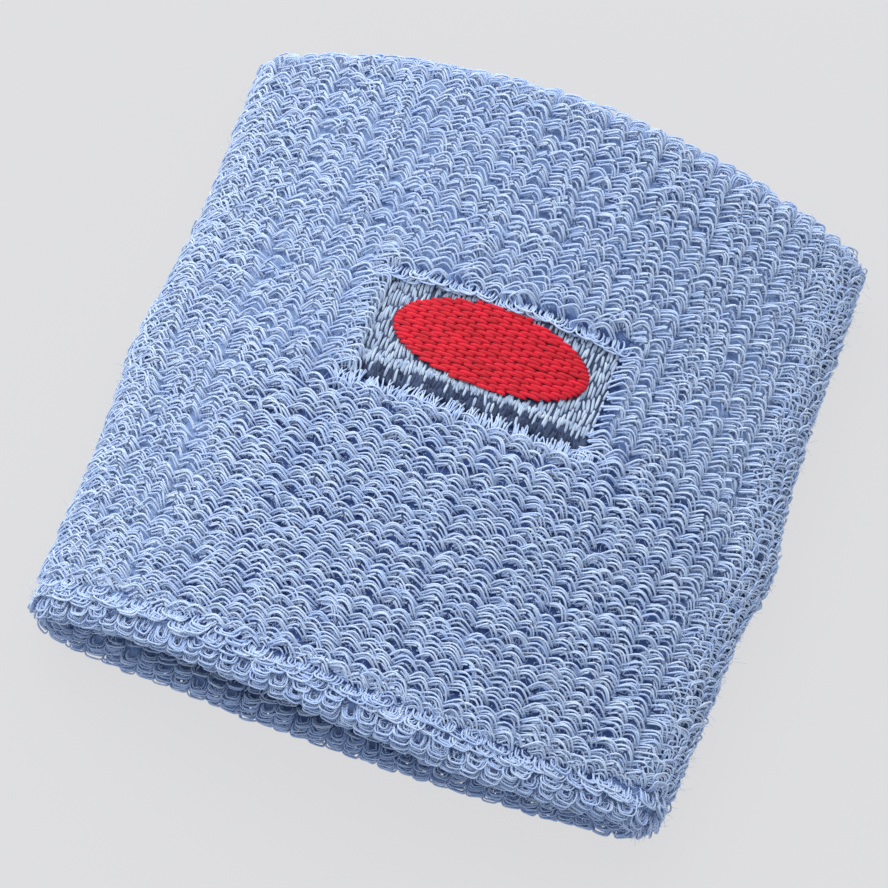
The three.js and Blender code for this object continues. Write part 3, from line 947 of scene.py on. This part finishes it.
def patch_base(material):
    """The dense underlay that the ground stitches lie on."""
    x, y = (np.linspace(PATCH_LOW[axis], PATCH_HIGH[axis], UNDERLAY_STEPS[axis]) for axis in (0, 1))
    gx, gy = np.meshgrid(x, y, indexing="ij")
    bottom, top = (on_upper_wall(gx, gy, face).reshape(-1, 3) for face in UNDERLAY)
    index = np.arange(gx.size).reshape(gx.shape)
    upper = np.stack([index[:-1, :-1], index[1:, :-1], index[1:, 1:], index[:-1, 1:]], -1).reshape(-1, 4)
    lower = upper[:, ::-1] + gx.size
    rim = np.concatenate([index[:, 0], index[-1, 1:], index[-2::-1, -1], index[0, -2:0:-1]])
    after = np.roll(rim, -1)
    wall = np.stack([rim, rim + gx.size, after + gx.size, after], -1)
    faces = np.concatenate([upper, lower, wall])
    piece = new_mesh("patch_underlay", np.concatenate([top, bottom]), faces)
    finish_piece(piece, material, "shadow_thread")


# ---- materials
# Each yarn's name, dark and light colour, roughness, sheen and gloss, and how fine its blotches
# and its fibres are.
YARNS = {
    "pile": ("terry_loops", (0.37, 0.49, 0.75), (0.54, 0.64, 0.80), 0.8, 0.12, 0.2, 900, 9000),
    # the ground's colours, far darker than the loops' yarn, are painted shade between the loops
    "ground": ("terry_ground_knit", (0.05, 0.09, 0.24), (0.25, 0.36, 0.60), 0.95, 0.1, 0.2, 900, 6000),
    "motif": ("red_thread", (0.48, 0.002, 0.014), (0.70, 0.005, 0.031), 0.55, 0.0, 0.4, 700, 9000),
    "patch": ("pale_thread", (0.28, 0.37, 0.54), (0.56, 0.66, 0.79), 0.5, 0.1, 0.3, 700, 9000),
    "shadow": ("navy_thread", (0.008, 0.016, 0.05), (0.05, 0.08, 0.17), 0.55, 0.0, 0.3, 700, 9000),
    "inside": ("inner_thread", (0.6, 0.6, 0.58), (0.75, 0.74, 0.7), 0.7, 0.1, 0.3, 700, 9000),
}
TONE_GAIN = 0.5                         # how much of a yarn's range one unit of tone moves it by
DARK_AT, LIGHT_AT = 0.15, 0.85          # where the two colours lie on that range
RELIEF, RELIEF_DEPTH = 0.3, 0.05 * MM


def node_material(name, roughness, sheen=0.0, specular=0.5):
    """A new material, with its nodes, its links and its shader."""
    material = bpy.data.materials.new(name)
    material.use_nodes = True
    nodes = material.node_tree.nodes
    shader = nodes["Principled BSDF"]
    shader.inputs["Roughness"].default_value = roughness
    shader.inputs["Sheen Weight"].default_value = sheen
    shader.inputs["Sheen Roughness"].default_value = 0.5
    shader.inputs["Specular IOR Level"].default_value = specular
    return material, nodes, material.node_tree.links, shader


def noise_node(nodes, links, scale, detail):
    """Noise that sticks to the object; returns its value."""
    coords = nodes.new("ShaderNodeTexCoord")
    noise = nodes.new("ShaderNodeTexNoise")
    noise.inputs["Scale"].default_value = scale
    noise.inputs["Detail"].default_value = detail
    links.new(coords.outputs["Object"], noise.inputs["Vector"])
    return noise.outputs["Fac"]


def thread_material(name, dark, light, roughness, sheen, specular, noise_scale, bump_scale):
    """Yarn: its colour varies from strand to strand and along each strand, at random and by the painted
    shade and light in the tone attribute, with fine fibres.
    """
    material, nodes, links, shader = node_material(name, roughness, sheen, specular)
    tone = nodes.new("ShaderNodeAttribute")
    tone.attribute_name = "tone"
    add = nodes.new("ShaderNodeMath")
    add.operation = "MULTIPLY_ADD"
    add.inputs[1].default_value = TONE_GAIN
    links.new(tone.outputs["Fac"], add.inputs[0])
    links.new(noise_node(nodes, links, noise_scale, 2), add.inputs[2])
    ramp = nodes.new("ShaderNodeValToRGB")
    for stop, position, colour in zip(ramp.color_ramp.elements, (DARK_AT, LIGHT_AT), (dark, light)):
        stop.position = position
        stop.color = (*colour, 1)
    links.new(add.outputs[0], ramp.inputs["Fac"])
    links.new(ramp.outputs["Color"], shader.inputs["Base Color"])
    relief = nodes.new("ShaderNodeBump")
    relief.inputs["Strength"].default_value = RELIEF
    relief.inputs["Distance"].default_value = RELIEF_DEPTH
    links.new(noise_node(nodes, links, bump_scale, 3), relief.inputs["Height"])
    links.new(relief.outputs["Normal"], shader.inputs["Normal"])
    return material


# ---- studio
SKY_COLOUR, SKY_STRENGTH = (0.88, 0.94, 1, 1), 0.655
FLOOR_HALF = 3.0
FLOOR_COLOUR = (0.025, 0.025, 0.0255, 1)
GLOW_COLOUR, GLOW_STRENGTH = (1, 1, 1.02, 1), 0.672
SOFTBOXES = (                           # name, place, size and power
    ("key", (-0.30, 0.14, 0.34), 0.5, 1.68),
    ("top", (-0.2, 0.85, 1.3), 2.0, 23),
)
VIEW_AZIMUTH, VIEW_ELEVATION = math.radians(20.46), math.radians(67.78)
VIEW_DISTANCE = 0.7595
VIEW_LENS = 255.6                       # in millimetres: a long lens
AIM_HEIGHT = 8 * MM
AIM_RIGHT, AIM_UP = -1.175 * MM, -0.864 * MM


def studio():
    """A pale floor that glows a little, a pale sky and two softboxes."""
    scene = bpy.context.scene
    scene.view_settings.view_transform = "Standard"
    scene.world = bpy.data.worlds.new("studio")
    scene.world.use_nodes = True
    sky = scene.world.node_tree.nodes["Background"]
    sky.inputs["Color"].default_value = SKY_COLOUR
    sky.inputs["Strength"].default_value = SKY_STRENGTH

    corners = [(x * FLOOR_HALF, y * FLOOR_HALF, 0) for x, y in ((-1, -1), (1, -1), (1, 1), (-1, 1))]
    floor = new_mesh("studio_floor", corners, [[0, 1, 2, 3]], smooth=False)
    material, _, _, shader = node_material("floor_paint", 0.9)
    shader.inputs["Base Color"].default_value = FLOOR_COLOUR
    shader.inputs["Emission Color"].default_value = GLOW_COLOUR
    shader.inputs["Emission Strength"].default_value = GLOW_STRENGTH
    floor.data.materials.append(material)

    for box in SOFTBOXES:
        softbox(*box)


def softbox(name, place_at, size, power):
    """A square light that faces the middle of the floor."""
    light = bpy.data.lights.new(name, "AREA")
    light.energy = power
    light.size = size
    lamp = bpy.data.objects.new(name, light)
    lamp.location = place_at
    lamp.rotation_euler = (-lamp.location).to_track_quat("-Z", "Y").to_euler()
    bpy.context.scene.collection.objects.link(lamp)


def camera():
    """The camera, at the photograph's angle."""
    flat = math.cos(VIEW_ELEVATION)
    back = Vector((math.sin(VIEW_AZIMUTH) * flat, -math.cos(VIEW_AZIMUTH) * flat, math.sin(VIEW_ELEVATION)))
    right = Vector((math.cos(VIEW_AZIMUTH), math.sin(VIEW_AZIMUTH), 0))
    up = back.cross(right)
    target = Vector((0, 0, AIM_HEIGHT)) + right * AIM_RIGHT + up * AIM_UP
    data = bpy.data.cameras.new("camera")
    data.lens = VIEW_LENS
    data.clip_start = 0.01
    piece = bpy.data.objects.new("camera", data)
    piece.location = target + back * VIEW_DISTANCE
    piece.rotation_mode = "QUATERNION"
    piece.rotation_quaternion = (-back).to_track_quat("-Z", "Y")
    bpy.context.scene.collection.objects.link(piece)
    bpy.context.scene.camera = piece


camera()
studio()
paints = {key: thread_material(*yarn) for key, yarn in YARNS.items()}
ground = knitted_ground(paints["ground"])
loops_on_it = outer_pile(paints["pile"])
loops_on_it.append(rim_pile("pile_rim_near", -1, 0.8, paints["pile"], SEED + 2))
loops_on_it.append(rim_pile("pile_rim_far", 1, 0.5, paints["pile"], SEED + 3))
loops_on_it += lining_pile(paints["pile"])
loops_on_it.append(pressed_pile(paints["pile"]))
loops_on_it += fuzz(paints["pile"])
patch_base(paints["shadow"])
ground_fill(paints["patch"], paints["shadow"])
motif(paints["motif"])
for node in ("closing_seam", "elastic_yarn", "embroidery_backing", "bobbin_stitches"):
    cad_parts[node].data.materials.clear()
    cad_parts[node].data.materials.append(paints["inside"])
